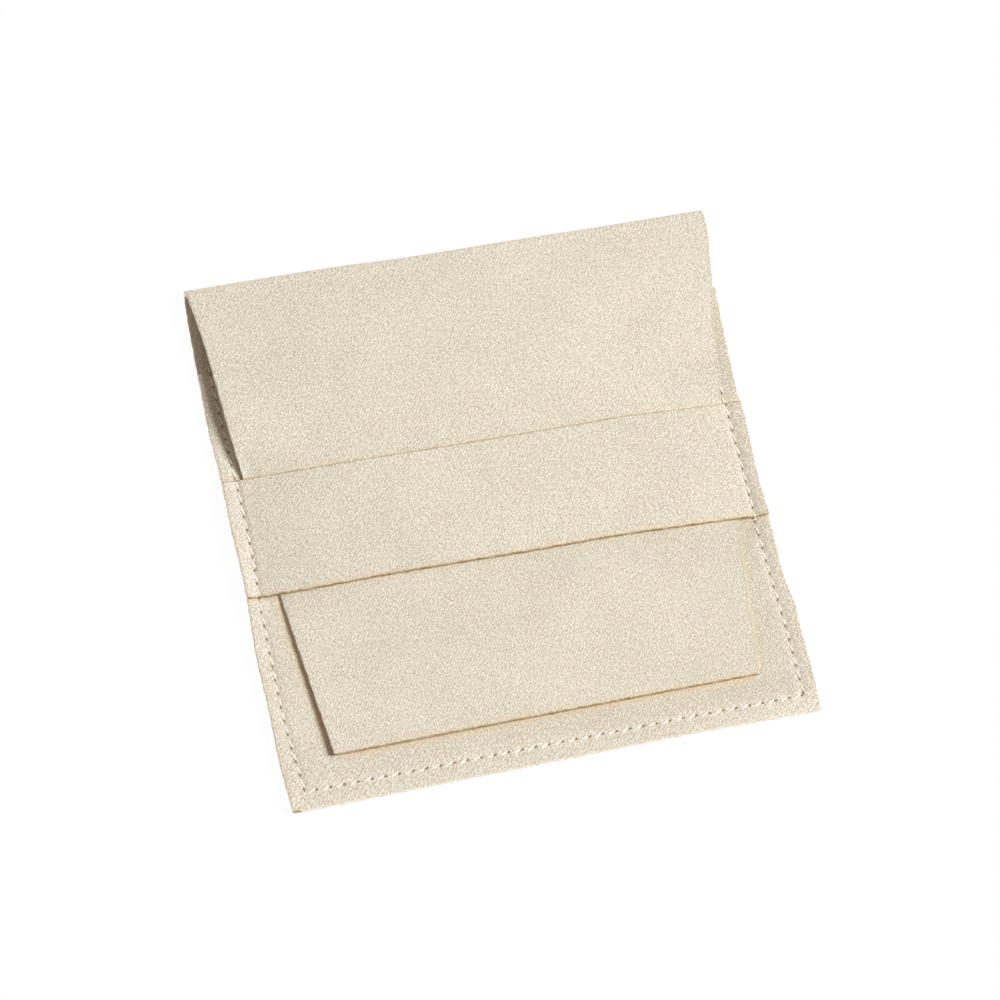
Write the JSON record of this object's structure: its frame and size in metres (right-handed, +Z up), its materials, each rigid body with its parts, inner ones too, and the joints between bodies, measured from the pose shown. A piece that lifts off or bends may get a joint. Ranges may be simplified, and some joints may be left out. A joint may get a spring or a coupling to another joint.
{
  "type": "envelope jewelry pouch",
  "caption": "Flat square envelope pouch of velvet cloth, with a tapered flap that folds over the pocket and tucks under a sewn cross band.",
  "frame": {"origin": "on the table, under the middle of the pouch's footprint", "axes": "+X along the crease to the right, +Y from the bottom edge towards the crease, +Z up out of the table, so that the flap is on top"},
  "size_m": [0.08, 0.08, 0.0043],
  "materials": {
    "velvet_cloth": "short-napped matt suede velvet in warm beige, cut edges lightly scorched tan",
    "sewing_thread": "spun off-white polyester thread, faint sheen"
  },
  "bodies": {
    "pouch": {"back_panel": "velvet_cloth", "crease_fold": "velvet_cloth", "front_panel": "velvet_cloth", "holding_band": "velvet_cloth", "needle_thread": "sewing_thread", "bobbin_thread": "sewing_thread"},
    "flap": {"flap_upper": "velvet_cloth", "flap_tongue": "velvet_cloth"}
  },
  "joints": [
    {"name": "flap_open", "type": "hinge", "parent": "pouch", "child": "flap", "pos_m": [0, 0.0396, 0.00162], "axis": [-1, 0, 0], "range_deg": [0, 175], "deforming": ["crease_fold", "flap_tongue"]}
  ]
}
